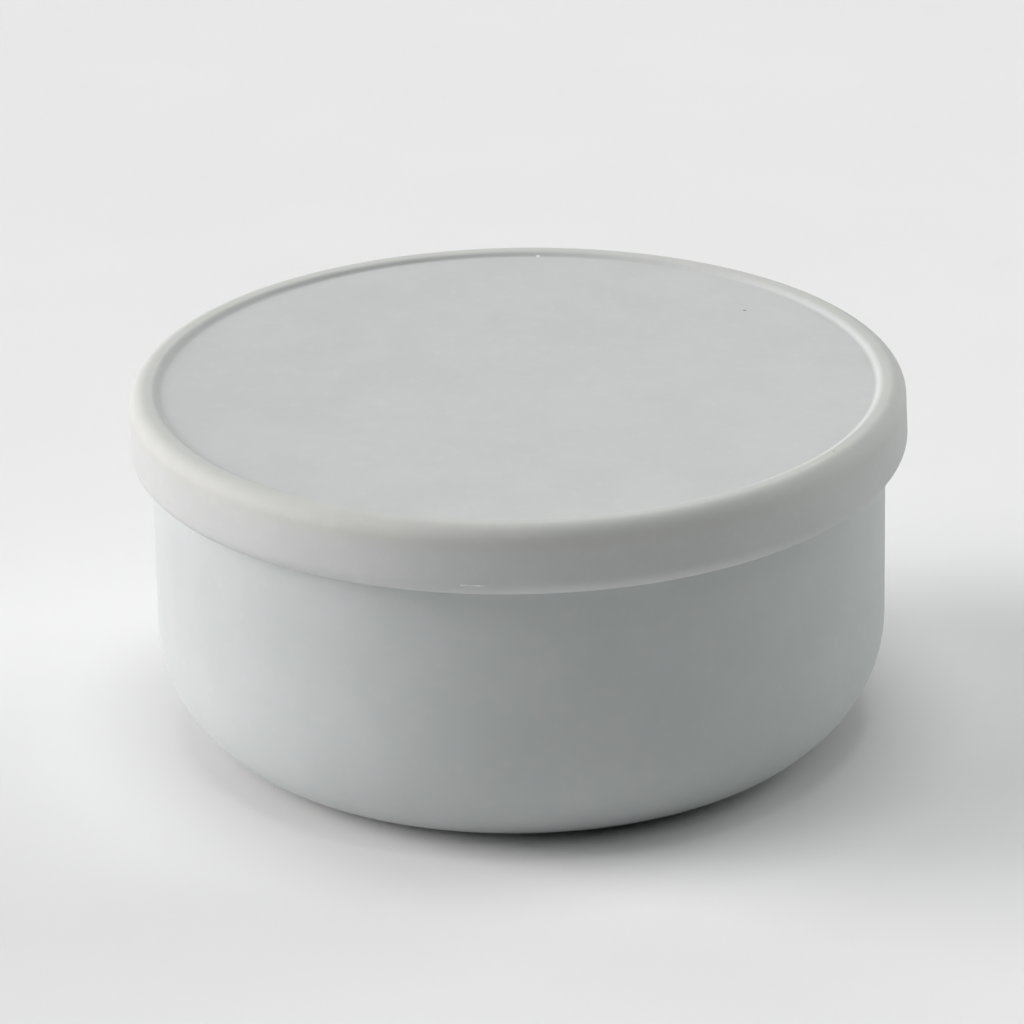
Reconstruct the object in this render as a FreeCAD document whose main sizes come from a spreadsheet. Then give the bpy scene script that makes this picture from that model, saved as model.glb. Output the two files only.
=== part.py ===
# Round lidded bowl, moulded in soft silicone: a straight-sided bowl with a wide
# rounded lower edge, and a lift-off lid whose skirt hangs over the bowl's rim.
#
# Frame: millimetres, +Z up along the axis that both pieces are round about, origin
# at the centre of the base, on the surface that the bowl stands on.

import FreeCAD, Part
import Sketcher
import os

# Driving dimensions in millimetres, kept in the document's sheet under these names.
DIMENSIONS = {
    # the whole object
    "overall_height": 60.9,
    "lid_radius": 65.0,
    # the bowl: its wall turns in to the base over a slant with a wide round at each end
    "bowl_radius": 61.25,
    "slant_width": 11.15,
    "slant_height": 10.25,
    "slant_top_round": 21.5,
    "slant_foot_round": 13.0,
    "foot_recess_radius": 36.0,
    "foot_recess_depth": 0.8,
    "foot_recess_round": 0.35,
    # the bowl's inside, which follows the outside
    "wall_thickness": 2.5,
    "floor_thickness": 3.0,
    "inner_slant_width": 9.25,
    "inner_slant_height": 8.5,
    "inner_slant_top_round": 19.0,
    "inner_slant_foot_round": 10.2,
    "rim_round": 0.8,
    # the lid from above: a disc set a little below the rounded bead round it
    "disc_radius": 59.7,
    "disc_thickness": 2.0,
    "bead_height": 0.7,
    "bead_slope_width": 0.75,
    "bead_crest_round": 1.4,
    "bead_foot_round": 1.1,
    # the skirt, which widens a little downwards and ends in a soft lip
    "skirt_height": 12.1,
    "skirt_flare": 0.45,
    "skirt_top_round": 2.75,
    "skirt_lip_round": 3.05,
    # the lid from below: a channel for the bowl's rim, and a seal ring inside it
    "cap_thickness": 2.5,
    "fit_gap": 0.3,
    "channel_round": 0.3,
    "seal_thickness": 1.9,
    "seal_depth": 5.5,
    "seal_tip_round": 0.7,
    "seal_root_round": 1.2,
}

# Levels and radii that follow from the driving dimensions, as sheet expressions.
BOWL_RIM_Z = "sizes.overall_height - sizes.cap_thickness"
BOWL_INNER_R = "sizes.bowl_radius - sizes.wall_thickness"
INNER_SLANT_TOP_Z = "sizes.floor_thickness + sizes.inner_slant_height"
INNER_SLANT_FOOT_R = BOWL_INNER_R + " - sizes.inner_slant_width"
DISC_TOP_Z = "sizes.overall_height - sizes.bead_height"
DISC_UNDER_Z = DISC_TOP_Z + " - sizes.disc_thickness"
BEAD_CREST_R = "sizes.disc_radius + sizes.bead_slope_width"
SKIRT_LIP_Z = "sizes.overall_height - sizes.skirt_height"
SKIRT_TOP_R = "sizes.lid_radius - sizes.skirt_flare"
SKIRT_INNER_R = "sizes.bowl_radius + sizes.fit_gap"
SEAL_OUTER_R = BOWL_INNER_R + " - sizes.fit_gap"
SEAL_INNER_R = SEAL_OUTER_R + " - sizes.seal_thickness"
SEAL_TIP_Z = BOWL_RIM_Z + " - sizes.seal_depth"

# Each outline is half of a section through the axis: its corners as (radius, height),
# in order round the section, before any corner is rounded.
BOWL_OUTLINE = {
    "recess_centre": ("0", "sizes.foot_recess_depth"),
    "recess_edge": ("sizes.foot_recess_radius", "sizes.foot_recess_depth"),
    "foot_inner": ("sizes.foot_recess_radius", "0"),
    "slant_foot": ("sizes.bowl_radius - sizes.slant_width", "0"),
    "slant_top": ("sizes.bowl_radius", "sizes.slant_height"),
    "rim_outer": ("sizes.bowl_radius", BOWL_RIM_Z),
    "rim_inner": (BOWL_INNER_R, BOWL_RIM_Z),
    "inner_slant_top": (BOWL_INNER_R, INNER_SLANT_TOP_Z),
    "inner_slant_foot": (INNER_SLANT_FOOT_R, "sizes.floor_thickness"),
    "floor_centre": ("0", "sizes.floor_thickness"),
}

LID_OUTLINE = {
    "disc_centre": ("0", DISC_TOP_Z),
    "bead_foot": ("sizes.disc_radius", DISC_TOP_Z),
    "bead_crest": (BEAD_CREST_R, "sizes.overall_height"),
    "skirt_top": (SKIRT_TOP_R, "sizes.overall_height"),
    "skirt_lip": ("sizes.lid_radius", SKIRT_LIP_Z),
    "skirt_inner": (SKIRT_INNER_R, SKIRT_LIP_Z),
    "channel_outer": (SKIRT_INNER_R, BOWL_RIM_Z),
    "channel_inner": (SEAL_OUTER_R, BOWL_RIM_Z),
    "seal_tip_outer": (SEAL_OUTER_R, SEAL_TIP_Z),
    "seal_tip_inner": (SEAL_INNER_R, SEAL_TIP_Z),
    "seal_root": (SEAL_INNER_R, DISC_UNDER_Z),
    "underside_centre": ("0", DISC_UNDER_Z),
}

# The rounded corners of each outline: the radius's name, then the corners it rounds.
BOWL_ROUNDS = {
    "slant_top_round": ["slant_top"],
    "slant_foot_round": ["slant_foot"],
    "inner_slant_top_round": ["inner_slant_top"],
    "inner_slant_foot_round": ["inner_slant_foot"],
    "rim_round": ["rim_outer", "rim_inner"],
    "foot_recess_round": ["foot_inner", "recess_edge"],
}

LID_ROUNDS = {
    "skirt_top_round": ["skirt_top"],
    "skirt_lip_round": ["skirt_lip"],
    "bead_crest_round": ["bead_crest"],
    "bead_foot_round": ["bead_foot"],
    "channel_round": ["skirt_inner", "channel_outer", "channel_inner"],
    "seal_tip_round": ["seal_tip_outer", "seal_tip_inner"],
    "seal_root_round": ["seal_root"],
}

PARTS_FOLDER = "parts"
FULL_TURN = 360  # degrees
MM3_PER_ML = 1000
ON_AXIS = 1e-6  # a corner this close to an axis lies on it, mm
SAME_PLACE = 1e-3  # an edge this close to a corner's circle is that circle, mm

# Sketcher's own numbers for the sketch's origin and axes, and for a line's two ends.
HORIZONTAL_AXIS = SKETCH_ORIGIN = -1
VERTICAL_AXIS = -2
START, END = 1, 2


def make_sheet(document):
    """Write the driving dimensions into the document's sheet, one row each."""
    sheet = document.addObject("Spreadsheet::Sheet", "sizes")
    for row, (name, value) in enumerate(DIMENSIONS.items(), start=1):
        sheet.set(f"A{row}", name.replace("_", " "))
        sheet.set(f"B{row}", str(value))
        sheet.setAlias(f"B{row}", name)
    document.recompute()
    return sheet


def origin_feature(body, role):
    """Find one of the body's own origin planes or axes by its role."""
    for feature in body.Origin.OriginFeatures:
        if feature.Role == role:
            return feature
    raise ValueError(f"{body.Name} has no {role}")


def corner_points(sheet, outline):
    """Work out every corner's place in the sketch from the sheet."""
    points = {}
    for name, (radius, height) in outline.items():
        across = sheet.evalExpression(radius)
        up = sheet.evalExpression(height)
        points[name] = FreeCAD.Vector(across, up, 0)
    return points


def tie_corner(sketch, line, name, point, expressions):
    """Hold a line's start on the axes where it lies on them, else at its sheet sizes."""
    ties = (
        ("DistanceX", "radius", point.x, VERTICAL_AXIS),
        ("DistanceY", "height", point.y, HORIZONTAL_AXIS),
    )
    for (kind, measure, value, axis), expression in zip(ties, expressions):
        if abs(value) < ON_AXIS:
            held = Sketcher.Constraint("PointOnObject", line, START, axis)
            sketch.addConstraint(held)
            continue
        held = Sketcher.Constraint(kind, SKETCH_ORIGIN, START, line, START, value)
        number = sketch.addConstraint(held)
        sketch.renameConstraint(number, f"{name}_{measure}")
        sketch.setExpression(f"Constraints.{name}_{measure}", expression)


def draw_outline(body, outline, points):
    """Sketch the closed outline in the body's XZ plane, fully tied to the sheet."""
    sketch = body.newObject("Sketcher::SketchObject", body.Name + "_section")
    sketch.AttachmentSupport = (origin_feature(body, "XZ_Plane"), "")
    sketch.MapMode = "FlatFace"
    corners = list(points.values())
    following = corners[1:] + corners[:1]
    for start, end in zip(corners, following):
        sketch.addGeometry(Part.LineSegment(start, end), False)
    for line in range(len(corners)):
        after = (line + 1) % len(corners)
        joined = Sketcher.Constraint("Coincident", line, END, after, START)
        sketch.addConstraint(joined)
    for line, (name, expressions) in enumerate(outline.items()):
        tie_corner(sketch, line, name, points[name], expressions)
    return sketch


def turn_outline(body, sketch):
    """Turn the section once about the vertical axis."""
    turned = body.newObject("PartDesign::Revolution", body.Name + "_turned")
    turned.Profile = sketch
    turned.ReferenceAxis = (sketch, ["V_Axis"])
    turned.Angle = FULL_TURN
    return turned


def circle_at(shape, point):
    """Name the circular edge that a section corner sweeps out."""
    for number, edge in enumerate(shape.Edges, start=1):
        curve = edge.Curve
        if not isinstance(curve, Part.Circle):
            continue
        wrong_radius = abs(curve.Radius - point.x)
        wrong_height = abs(curve.Center.z - point.y)
        if wrong_radius < SAME_PLACE and wrong_height < SAME_PLACE:
            return f"Edge{number}"
    raise ValueError(f"no circle of radius {point.x:.3f} at height {point.y:.3f}")


def round_corners(document, body, base, rounds, points):
    """Round the section's corners, one radius after another."""
    for radius_name, corners in rounds.items():
        edges = [circle_at(base.Shape, points[corner]) for corner in corners]
        fillet = body.newObject("PartDesign::Fillet", f"{body.Name}_{radius_name}")
        fillet.Base = (base, edges)
        fillet.setExpression("Radius", f"sizes.{radius_name}")
        document.recompute()
        base = fillet
    body.Tip = base


def make_piece(document, sheet, name, outline, rounds):
    """Build one turned piece as a body of its own, standing in its place in the object."""
    body = document.addObject("PartDesign::Body", name)
    body.Label = name
    points = corner_points(sheet, outline)
    sketch = draw_outline(body, outline, points)
    turned = turn_outline(body, sketch)
    document.recompute()
    round_corners(document, body, turned, rounds, points)
    body.Placement = FreeCAD.Placement()
    return body


def check_document(document, pieces):
    """Stop with a plain message if any feature failed or a piece isn't one sound solid."""
    for item in document.Objects:
        if "Invalid" in item.State or "Error" in item.State:
            raise RuntimeError(f"{item.Name} failed: {item.State}")
    for piece in pieces:
        shape = piece.Shape
        if shape.isNull() or not shape.isValid() or len(shape.Solids) != 1:
            raise RuntimeError(f"{piece.Label} isn't one valid solid")


def main():
    document = FreeCAD.newDocument("lidded_bowl")
    sheet = make_sheet(document)
    bowl = make_piece(document, sheet, "bowl", BOWL_OUTLINE, BOWL_ROUNDS)
    lid = make_piece(document, sheet, "lid", LID_OUTLINE, LID_ROUNDS)
    pieces = [bowl, lid]
    document.recompute()
    check_document(document, pieces)
    os.makedirs(PARTS_FOLDER, exist_ok=True)
    for piece in pieces:
        piece.Shape.exportStep(os.path.join(PARTS_FOLDER, piece.Label + ".step"))
        print(f"{piece.Label}: {piece.Shape.Volume / MM3_PER_ML:.1f} ml of silicone")


main()
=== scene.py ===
"""Looks for the lidded bowl: two soft silicone mouldings on a pale studio table."""

import math

import bmesh
import bpy
from mathutils import Matrix, Vector


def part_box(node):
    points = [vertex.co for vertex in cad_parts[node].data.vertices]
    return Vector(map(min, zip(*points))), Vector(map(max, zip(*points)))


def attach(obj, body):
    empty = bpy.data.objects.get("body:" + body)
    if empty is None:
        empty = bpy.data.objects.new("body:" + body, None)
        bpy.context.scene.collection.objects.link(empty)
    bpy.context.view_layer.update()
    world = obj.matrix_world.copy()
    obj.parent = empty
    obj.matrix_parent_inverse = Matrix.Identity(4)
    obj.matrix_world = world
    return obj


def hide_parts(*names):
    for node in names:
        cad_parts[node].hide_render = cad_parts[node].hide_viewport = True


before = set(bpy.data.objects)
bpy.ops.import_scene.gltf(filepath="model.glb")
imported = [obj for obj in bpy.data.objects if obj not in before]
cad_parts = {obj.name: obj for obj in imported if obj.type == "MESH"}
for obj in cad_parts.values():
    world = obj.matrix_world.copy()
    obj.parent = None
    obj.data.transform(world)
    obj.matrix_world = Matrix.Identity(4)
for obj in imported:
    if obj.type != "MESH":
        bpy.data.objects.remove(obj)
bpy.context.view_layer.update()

MM = 0.001

# Sizes of the two mouldings that their boxes don't give, in metres.
WALL = 2.5 * MM
FLOOR = 3.0 * MM
SLANT_WIDTH = 11.15 * MM
SLANT_HEIGHT = 10.25 * MM
SLANT_TOP_ROUND = 21.5 * MM
SLANT_FOOT_ROUND = 13.0 * MM
INNER_SLANT_WIDTH = 9.25 * MM
INNER_SLANT_HEIGHT = 8.5 * MM
INNER_SLANT_TOP_ROUND = 19.0 * MM
INNER_SLANT_FOOT_ROUND = 10.2 * MM
FOOT_RECESS_RADIUS = 36.0 * MM
FOOT_RECESS_DEPTH = 0.8 * MM
FOOT_RECESS_ROUND = 0.35 * MM
RIM_ROUND = 0.8 * MM

SKIRT_FLARE = 0.45 * MM
SKIRT_TOP_ROUND = 2.75 * MM
SKIRT_LIP_ROUND = 3.05 * MM
BEAD_HEIGHT = 0.7 * MM
BEAD_SLOPE_WIDTH = 0.75 * MM
BEAD_CREST_ROUND = 1.4 * MM
BEAD_FOOT_ROUND = 1.1 * MM
DISC_RADIUS = 59.7 * MM
DISC_THICKNESS = 2.0 * MM
FIT_GAP = 0.3 * MM
CHANNEL_ROUND = 0.3 * MM
SEAL_THICKNESS = 1.9 * MM
SEAL_DEPTH = 5.5 * MM
SEAL_TIP_ROUND = 0.7 * MM
SEAL_ROOT_ROUND = 1.2 * MM

# How finely the turned pieces are cut, and how near the axis a point counts as on it.
SEGMENTS = 360
ARC_STEP = math.radians(6)
ON_AXIS = 1e-9

# The lip's round starts below the full radius, so the lid's box is a little too small for it.
LID_RADIUS = 65.0 * MM

# Places of the mouldings' edges, taken from the frame.
BOWL_LOW, BOWL_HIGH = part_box("bowl")
BOWL_RADIUS = (BOWL_HIGH.x - BOWL_LOW.x) / 2
BOWL_RIM_Z = BOWL_HIGH.z
BOWL_INNER = BOWL_RADIUS - WALL
LID_LOW, LID_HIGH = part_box("lid")
LID_TOP_Z = LID_HIGH.z
LIP_Z = LID_LOW.z
DISC_Z = LID_TOP_Z - BEAD_HEIGHT

# A trace of moulding flash near the middle of the front, a little above the lip.
# Its angles are from the front, positive towards +X.
FLASH_START = math.radians(-8.6)
FLASH_END = math.radians(-4.6)
FLASH_STEPS = 40
FLASH_SIDES = 10
FLASH_Z = LIP_Z + 2.5 * MM
FLASH_RADIUS = 64.84 * MM
FLASH_HEIGHT = 0.22 * MM
FLASH_THICKNESS = 0.3 * MM
FLASH_WAVES = 1.35
FLASH_WAVE_MEAN = 0.65
FLASH_WAVE_SWING = 0.35
FLASH_END_TAPER = 0.4
WELD_DISTANCE = 1e-7

# Colours of the silicone, linear RGB: each moulding drifts between its pale and its deep one.
BOWL_PALE = (0.560, 0.590, 0.584)
BOWL_DEEP = (0.540, 0.572, 0.566)
LID_PALE = (0.570, 0.581, 0.578)
LID_DEEP = (0.550, 0.563, 0.560)
# The flash is drawn much paler than the silicone: a painted glint along the fin, partly the
# whitening of torn silicone.
FLASH_GLINT_PALE = (0.80, 0.80, 0.79)
FLASH_GLINT_DEEP = (0.72, 0.72, 0.71)
CLOUD_SIZE = 11 * MM

# A thin film of dust lies on the silicone in small patches.
DUST_FILM = (0.66, 0.66, 0.65)
FILM_SIZE = 2.4 * MM
FILM_COVER = 0.16
FILM_START = 0.5
FILM_END = 0.75

# The bead is painted slightly warmer, from just outside the disc and over the skirt's top: a painted
# tint of warm light.
RIM_LIGHT_TINT = (1.0, 0.995, 0.960)
RIM_FADE = 1.2 * MM
RIM_DEPTH = 5.0 * MM

# Three specks of dust on the lid: centre, radius, colour.
SPECK_EDGE = 0.6
SPECK_COVER = 0.8
SPECKS = [
    ((39.1 * MM, 31.6 * MM, DISC_Z), 0.42 * MM, (0.2, 0.19, 0.17)),
    ((4.0 * MM, 59.6 * MM, DISC_Z + 0.1 * MM), 0.4 * MM, (0.9, 0.9, 0.86)),
    ((50.9 * MM, -34.4 * MM, LID_TOP_Z), 0.35 * MM, (0.42, 0.4, 0.22)),
]

# Surface and depth of the silicone.
ROUGHNESS_RANGE = (0.6, 0.72)
SILICONE_IOR = 1.41
SILICONE_SPECULAR = 0.08
SUBSURFACE_WEIGHT = 0.1
SUBSURFACE_COLOUR_REACH = (1.0, 0.85, 0.7)
SUBSURFACE_REACH = 1.0 * MM
GRAIN_SIZE = 0.3 * MM
GRAIN_DEPTH = 0.012 * MM
WAVE_SIZE = 9 * MM
WAVE_DEPTH = 0.03 * MM
NOISE_ROUGHNESS = 0.55

# The sheet of paper that the bowl stands on.
FLOOR_RADIUS = 6
FLOOR_SIDES = 128
PAPER = (0.818, 0.818, 0.818)
PAPER_DEEP = (0.806, 0.806, 0.806)
PAPER_CLOUD_SIZE = 60 * MM
PAPER_TOOTH_SIZE = 0.5 * MM
PAPER_TOOTH_DEPTH = 0.006 * MM
PAPER_ROUGHNESS = 0.9
PAPER_SPECULAR = 0.1
BACKDROP_BRIGHTNESS = 0.8

# The camera, a little above the bowl and in front of it; the lens is in millimetres.
CAMERA_PLACE = Vector((0, -1.0062, 0.4577))
CAMERA_AIM = Vector((-0.00127, 0, 0.03682))
CAMERA_ROLL = math.radians(-1.02)
CAMERA_SENSOR = 36
CAMERA_LENS = 228.5

# The key lights are slightly warm and those overhead slightly cool: together, neutral on the floor.
KEY_TINT = (1.035, 1.0, 1.005)
SKY_TINT = (0.974, 1.0, 0.998)
WHITE = (1.0, 1.0, 1.0)

# Far soft lights: name, azimuth and elevation, width in the sky, strength in W/m2, tint.
# The angles are in degrees, and azimuth 0 is the front, positive towards +X.
LIGHTS = [
    ("key_low", -100, 15, 30, 1.409, KEY_TINT),
    ("key_middle", -100, 25, 30, 0.891, KEY_TINT),
    ("key_side", -80, 15, 30, 0.648, KEY_TINT),
    ("key_high", -80, 48, 30, 0.407, KEY_TINT),
    ("fill_right", 120, 15, 40, 1.350, WHITE),
    ("fill_back_right", 140, 35, 50, 0.190, WHITE),
    ("fill_back_left", -160, 35, 50, 0.499, SKY_TINT),
    ("top", 0, 90, 30, 0.913, SKY_TINT),
    ("top_front", 20, 62, 30, 0.293, SKY_TINT),
]

# Sockets of Blender's Mix node when it mixes colours.
MIX_FACTOR = 0
MIX_FIRST = 6
MIX_SECOND = 7
MIX_RESULT = 2


def unit_towards(start, end):
    return (end - start).normalized()


def rounded_outline(corners):
    """Replace each corner (radius, height, round) by an arc tangent to its two sides."""
    points = []
    count = len(corners)
    for index, (radius, height, rounding) in enumerate(corners):
        corner = Vector((radius, height))
        if rounding == 0:
            points.append(corner)
            continue
        before = Vector(corners[index - 1][:2])
        after = Vector(corners[(index + 1) % count][:2])
        back = unit_towards(corner, before)
        onward = unit_towards(corner, after)
        half_angle = back.angle(onward) / 2
        reach = rounding / math.tan(half_angle)
        centre = corner + (back + onward).normalized() * rounding / math.sin(half_angle)
        start = corner + back * reach - centre
        end = corner + onward * reach - centre
        sweep = start.angle_signed(end)
        steps = max(2, math.ceil(abs(sweep) / ARC_STEP))
        for step in range(steps + 1):
            turn = Matrix.Rotation(-sweep * step / steps, 2)
            points.append(centre + turn @ start)
    return points


def turned_mesh(name, points):
    """Turn a closed outline that starts and ends on the axis once about +Z."""
    vertices = []
    rings = []
    for point in points:
        if point.x < ON_AXIS:
            rings.append([len(vertices)] * SEGMENTS)
            vertices.append((0, 0, point.y))
            continue
        first = len(vertices)
        rings.append(list(range(first, first + SEGMENTS)))
        for segment in range(SEGMENTS):
            angle = 2 * math.pi * segment / SEGMENTS
            vertices.append((point.x * math.cos(angle), point.x * math.sin(angle), point.y))
    faces = []
    for lower, upper in zip(rings, rings[1:]):
        for segment in range(SEGMENTS):
            after = (segment + 1) % SEGMENTS
            corners = [lower[segment], lower[after], upper[after], upper[segment]]
            faces.append(list(dict.fromkeys(corners)))
    mesh = bpy.data.meshes.new(name)
    mesh.from_pydata(vertices, [], faces)
    mesh.validate()
    mesh.update()
    for polygon in mesh.polygons:
        polygon.use_smooth = True
    piece = bpy.data.objects.new(name, mesh)
    bpy.context.scene.collection.objects.link(piece)
    return piece


def bowl_corners():
    """Outline of the bowl's section, from the axis under the foot round to the axis inside."""
    return [
        (0, FOOT_RECESS_DEPTH, 0),
        (FOOT_RECESS_RADIUS, FOOT_RECESS_DEPTH, FOOT_RECESS_ROUND),
        (FOOT_RECESS_RADIUS, 0, FOOT_RECESS_ROUND),
        (BOWL_RADIUS - SLANT_WIDTH, 0, SLANT_FOOT_ROUND),
        (BOWL_RADIUS, SLANT_HEIGHT, SLANT_TOP_ROUND),
        (BOWL_RADIUS, BOWL_RIM_Z, RIM_ROUND),
        (BOWL_INNER, BOWL_RIM_Z, RIM_ROUND),
        (BOWL_INNER, FLOOR + INNER_SLANT_HEIGHT, INNER_SLANT_TOP_ROUND),
        (BOWL_INNER - INNER_SLANT_WIDTH, FLOOR, INNER_SLANT_FOOT_ROUND),
        (0, FLOOR, 0),
    ]


def lid_corners():
    """Outline of the lid's section, from the axis under the disc round to the axis on top."""
    under_z = DISC_Z - DISC_THICKNESS
    skirt_inner = BOWL_RADIUS + FIT_GAP
    seal_outer = BOWL_INNER - FIT_GAP
    seal_inner = seal_outer - SEAL_THICKNESS
    seal_tip_z = BOWL_RIM_Z - SEAL_DEPTH
    return [
        (0, under_z, 0),
        (seal_inner, under_z, SEAL_ROOT_ROUND),
        (seal_inner, seal_tip_z, SEAL_TIP_ROUND),
        (seal_outer, seal_tip_z, SEAL_TIP_ROUND),
        (seal_outer, BOWL_RIM_Z, CHANNEL_ROUND),
        (skirt_inner, BOWL_RIM_Z, CHANNEL_ROUND),
        (skirt_inner, LIP_Z, CHANNEL_ROUND),
        (LID_RADIUS, LIP_Z, SKIRT_LIP_ROUND),
        (LID_RADIUS - SKIRT_FLARE, LID_TOP_Z, SKIRT_TOP_ROUND),
        (DISC_RADIUS + BEAD_SLOPE_WIDTH, LID_TOP_Z, BEAD_CREST_ROUND),
        (DISC_RADIUS, DISC_Z, BEAD_FOOT_ROUND),
        (0, DISC_Z, 0),
    ]


def add_node(tree, kind, inputs=None, **settings):
    """Add a shader node; an input is either a plain value or another node's output."""
    node = tree.nodes.new(kind)
    for name, value in settings.items():
        setattr(node, name, value)
    for name, value in (inputs or {}).items():
        if isinstance(value, bpy.types.NodeSocket):
            tree.links.new(value, node.inputs[name])
        else:
            node.inputs[name].default_value = value
    return node


def noise(tree, place, size, detail):
    """Noise whose blotches are about `size` metres across."""
    inputs = {
        "Vector": place,
        "Scale": 1 / size,
        "Detail": detail,
        "Roughness": NOISE_ROUGHNESS,
    }
    return add_node(tree, "ShaderNodeTexNoise", inputs).outputs["Fac"]


def spread(tree, value, low, high, start=0.3, end=0.7):
    """Stretch the part of `value` between start and end over low to high, without steps."""
    inputs = {
        "Value": value,
        "From Min": start,
        "From Max": end,
        "To Min": low,
        "To Max": high,
    }
    node = add_node(tree, "ShaderNodeMapRange", inputs, interpolation_type="SMOOTHSTEP")
    return node.outputs["Result"]


def vector_maths(tree, operation, inputs):
    return add_node(tree, "ShaderNodeVectorMath", inputs, operation=operation)


def blend_colours(tree, factor, first, second, blend_type="MIX"):
    """Blend two colours; each is a plain colour or another node's output."""
    node = add_node(tree, "ShaderNodeMix", data_type="RGBA", blend_type=blend_type)
    sockets = {MIX_FACTOR: factor, MIX_FIRST: first, MIX_SECOND: second}
    for number, value in sockets.items():
        if isinstance(value, bpy.types.NodeSocket):
            tree.links.new(value, node.inputs[number])
        else:
            node.inputs[number].default_value = (*value, 1)
    return node.outputs[MIX_RESULT]


def grain_and_waves(tree, place):
    """Bump: the mould's fine matte grain over the slight waves of a soft moulding."""
    waves = add_node(tree, "ShaderNodeBump", {
        "Height": noise(tree, place, WAVE_SIZE, 1),
        "Distance": WAVE_DEPTH,
    })
    grain = add_node(tree, "ShaderNodeBump", {
        "Height": noise(tree, place, GRAIN_SIZE, 2),
        "Distance": GRAIN_DEPTH,
        "Normal": waves.outputs["Normal"],
    })
    return grain.outputs["Normal"]


def add_speck(tree, place, colour, centre, radius, speck_colour):
    """Lay one speck of dust over the colour, with a ragged edge.

    Noise moves every place by up to one radius along each axis, by half of it on average,
    so the middle of the speck is moved by half a radius too.
    """
    ragged = add_node(tree, "ShaderNodeTexNoise", {"Vector": place, "Scale": 1 / radius})
    shift = vector_maths(tree, "SCALE", {0: ragged.outputs["Color"], "Scale": radius})
    moved = vector_maths(tree, "ADD", {0: place, 1: shift.outputs[0]})
    middle = Vector(centre) + Vector((0.5, 0.5, 0.5)) * radius
    away = vector_maths(tree, "DISTANCE", {0: moved.outputs[0], 1: middle})
    cover = spread(tree, away.outputs["Value"], SPECK_COVER, 0, radius * SPECK_EDGE, radius)
    return blend_colours(tree, cover, colour, speck_colour)


def paint_rim_warm_light(tree, place, colour):
    """Turn the colour a little warmer on the bead: a painted tint of warm light."""
    height = add_node(tree, "ShaderNodeSeparateXYZ", {"Vector": place}).outputs["Z"]
    flat = vector_maths(tree, "MULTIPLY", {0: place, 1: (1, 1, 0)})
    away = vector_maths(tree, "LENGTH", {0: flat.outputs[0]})
    outside = spread(tree, away.outputs["Value"], 0, 1, DISC_RADIUS, DISC_RADIUS + RIM_FADE)
    above = spread(tree, height, 0, 1, LID_TOP_Z - RIM_DEPTH, LID_TOP_Z - RIM_DEPTH / 2)
    cover = add_node(tree, "ShaderNodeMath", {0: outside, 1: above}, operation="MULTIPLY")
    return blend_colours(tree, cover.outputs[0], colour, RIM_LIGHT_TINT, "MULTIPLY")


def silicone(name, pale, deep, paint_bead_light=False, specks=()):
    """Matte pale grey silicone with faint mottling and fine grain."""
    material = bpy.data.materials.new(name)
    material.use_nodes = True
    tree = material.node_tree
    shader = tree.nodes["Principled BSDF"]
    place = add_node(tree, "ShaderNodeTexCoord").outputs["Object"]

    clouds = spread(tree, noise(tree, place, CLOUD_SIZE, 3), 0, 1)
    colour = blend_colours(tree, clouds, deep, pale)
    film = spread(tree, noise(tree, place, FILM_SIZE, 4), 0, FILM_COVER, FILM_START, FILM_END)
    colour = blend_colours(tree, film, colour, DUST_FILM)
    # The lid's bead gets a painted tint of warm light.
    if paint_bead_light:
        colour = paint_rim_warm_light(tree, place, colour)
    for centre, radius, speck_colour in specks:
        colour = add_speck(tree, place, colour, centre, radius, speck_colour)
    tree.links.new(colour, shader.inputs["Base Color"])

    gloss = spread(tree, noise(tree, place, CLOUD_SIZE / 2, 3), *ROUGHNESS_RANGE)
    tree.links.new(gloss, shader.inputs["Roughness"])
    tree.links.new(grain_and_waves(tree, place), shader.inputs["Normal"])
    shader.inputs["IOR"].default_value = SILICONE_IOR
    shader.inputs["Specular IOR Level"].default_value = SILICONE_SPECULAR
    shader.inputs["Subsurface Weight"].default_value = SUBSURFACE_WEIGHT
    shader.inputs["Subsurface Radius"].default_value = SUBSURFACE_COLOUR_REACH
    shader.inputs["Subsurface Scale"].default_value = SUBSURFACE_REACH
    return material


def flash_mesh(name):
    """A trace of moulding flash: a thin low fin on the skirt, ragged along its length."""
    shell = bmesh.new()
    rings = []
    for step in range(FLASH_STEPS + 1):
        along = step / FLASH_STEPS
        angle = FLASH_START + (FLASH_END - FLASH_START) * along
        ragged = FLASH_WAVE_MEAN + FLASH_WAVE_SWING * math.cos(2 * math.pi * FLASH_WAVES * along)
        swell = math.sin(math.pi * along) ** FLASH_END_TAPER * ragged
        ring = []
        for side in range(FLASH_SIDES):
            turn = 2 * math.pi * side / FLASH_SIDES
            radius = FLASH_RADIUS + FLASH_HEIGHT * swell * math.cos(turn)
            height = FLASH_Z + FLASH_THICKNESS * swell * math.sin(turn) / 2
            spot = (radius * math.sin(angle), -radius * math.cos(angle), height)
            ring.append(shell.verts.new(spot))
        rings.append(ring)
    for ring, following in zip(rings, rings[1:]):
        for side in range(FLASH_SIDES):
            after = (side + 1) % FLASH_SIDES
            shell.faces.new((ring[side], following[side], following[after], ring[after]))
    bmesh.ops.remove_doubles(shell, verts=shell.verts, dist=WELD_DISTANCE)
    bmesh.ops.recalc_face_normals(shell, faces=shell.faces)
    mesh = bpy.data.meshes.new(name)
    shell.to_mesh(mesh)
    shell.free()
    mesh.shade_smooth()
    piece = bpy.data.objects.new(name, mesh)
    bpy.context.scene.collection.objects.link(piece)
    return piece


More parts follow.
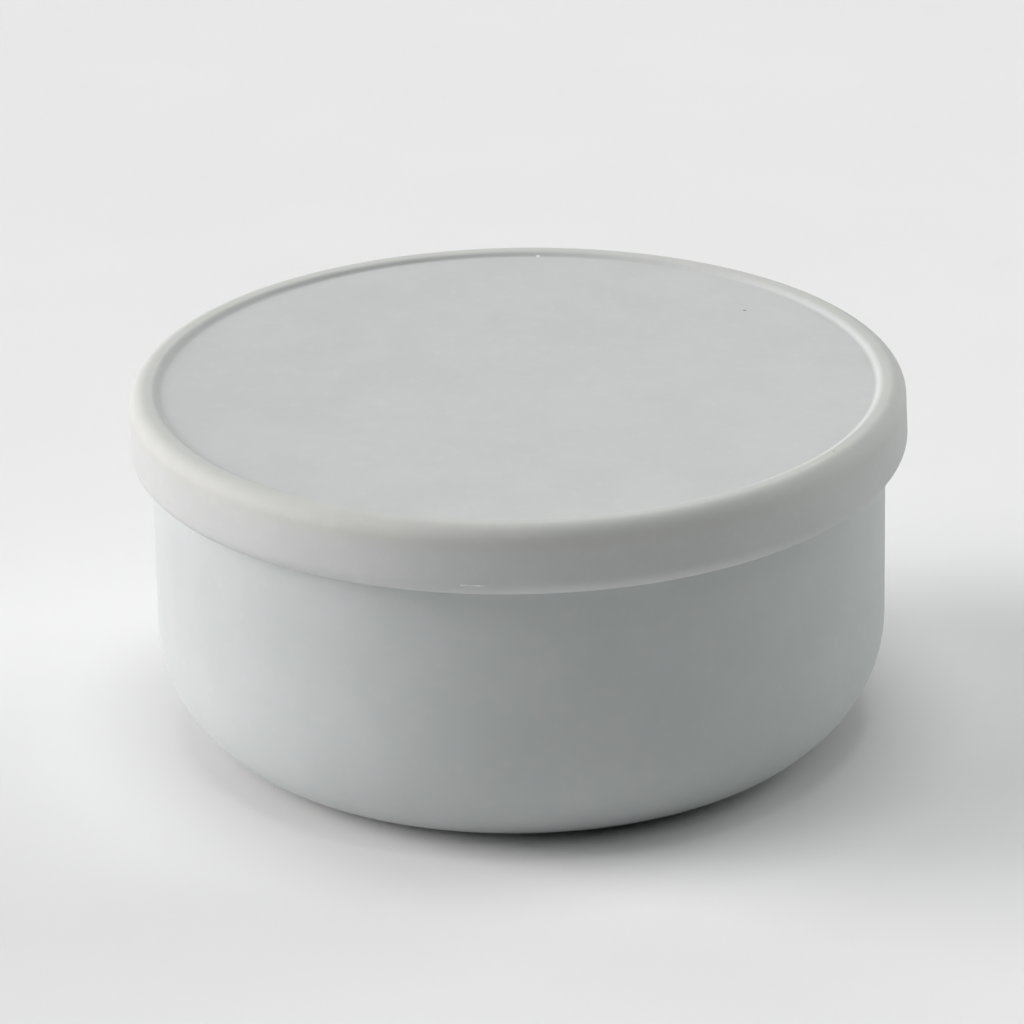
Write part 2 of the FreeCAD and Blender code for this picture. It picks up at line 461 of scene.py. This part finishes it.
bowl = turned_mesh("bowl_moulding", rounded_outline(bowl_corners()))
lid = turned_mesh("lid_moulding", rounded_outline(lid_corners()))
flash = flash_mesh("lid_flash")
bowl.data.materials.append(silicone("bowl_silicone", BOWL_PALE, BOWL_DEEP))
lid.data.materials.append(silicone("lid_silicone", LID_PALE, LID_DEEP, paint_bead_light=True, specks=SPECKS))
# The flash's pale colour is a painted glint.
flash.data.materials.append(silicone("flash_silicone_painted_glint", FLASH_GLINT_PALE, FLASH_GLINT_DEEP))
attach(bowl, "bowl")
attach(lid, "lid")
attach(flash, "lid")
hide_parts("bowl")
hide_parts("lid")


def add_floor():
    """A pale sheet of smooth paper, with the slight cloudiness and tooth of paper."""
    bpy.ops.mesh.primitive_circle_add(
        vertices=FLOOR_SIDES, radius=FLOOR_RADIUS, fill_type="TRIFAN")
    floor = bpy.context.object
    floor.name = "floor"
    material = bpy.data.materials.new("floor_paper")
    material.use_nodes = True
    tree = material.node_tree
    shader = tree.nodes["Principled BSDF"]
    place = add_node(tree, "ShaderNodeTexCoord").outputs["Object"]
    clouds = spread(tree, noise(tree, place, PAPER_CLOUD_SIZE, 4), 0, 1)
    tree.links.new(blend_colours(tree, clouds, PAPER_DEEP, PAPER), shader.inputs["Base Color"])
    tooth = add_node(tree, "ShaderNodeBump", {
        "Height": noise(tree, place, PAPER_TOOTH_SIZE, 2),
        "Distance": PAPER_TOOTH_DEPTH,
    })
    tree.links.new(tooth.outputs["Normal"], shader.inputs["Normal"])
    shader.inputs["Roughness"].default_value = PAPER_ROUGHNESS
    shader.inputs["Specular IOR Level"].default_value = PAPER_SPECULAR
    floor.data.materials.append(material)


def add_camera():
    data = bpy.data.cameras.new("camera")
    data.sensor_width = CAMERA_SENSOR
    data.lens = CAMERA_LENS
    camera = bpy.data.objects.new("camera", data)
    bpy.context.scene.collection.objects.link(camera)
    look = (CAMERA_AIM - CAMERA_PLACE).to_track_quat("-Z", "Y").to_matrix().to_4x4()
    roll = Matrix.Rotation(CAMERA_ROLL, 4, "Z")
    camera.matrix_world = Matrix.Translation(CAMERA_PLACE) @ look @ roll
    bpy.context.scene.camera = camera


def add_backdrop():
    """A pale backdrop, seen beyond the floor, while the lights do all the lighting."""
    world = bpy.data.worlds.new("studio")
    world.use_nodes = True
    tree = world.node_tree
    seen = add_node(tree, "ShaderNodeLightPath").outputs["Is Camera Ray"]
    strength = add_node(
        tree, "ShaderNodeMath", {0: seen, 1: BACKDROP_BRIGHTNESS}, operation="MULTIPLY")
    background = tree.nodes["Background"]
    tree.links.new(strength.outputs[0], background.inputs["Strength"])
    background.inputs["Color"].default_value = (*WHITE, 1)
    bpy.context.scene.world = world


def add_light(name, azimuth, elevation, spread_angle, strength, tint):
    """Add one far soft light, shining from the given direction towards the bowl."""
    data = bpy.data.lights.new(name, "SUN")
    data.angle = math.radians(spread_angle)
    data.energy = strength
    data.color = tint
    light = bpy.data.objects.new(name, data)
    bpy.context.scene.collection.objects.link(light)
    around = math.radians(azimuth)
    up = math.radians(elevation)
    level = math.cos(up)
    direction = Vector((math.sin(around) * level, -math.cos(around) * level, math.sin(up)))
    light.rotation_euler = direction.to_track_quat("Z", "Y").to_euler()


add_floor()
add_camera()
add_backdrop()
for light in LIGHTS:
    add_light(*light)
bpy.context.scene.view_settings.view_transform = "Standard"
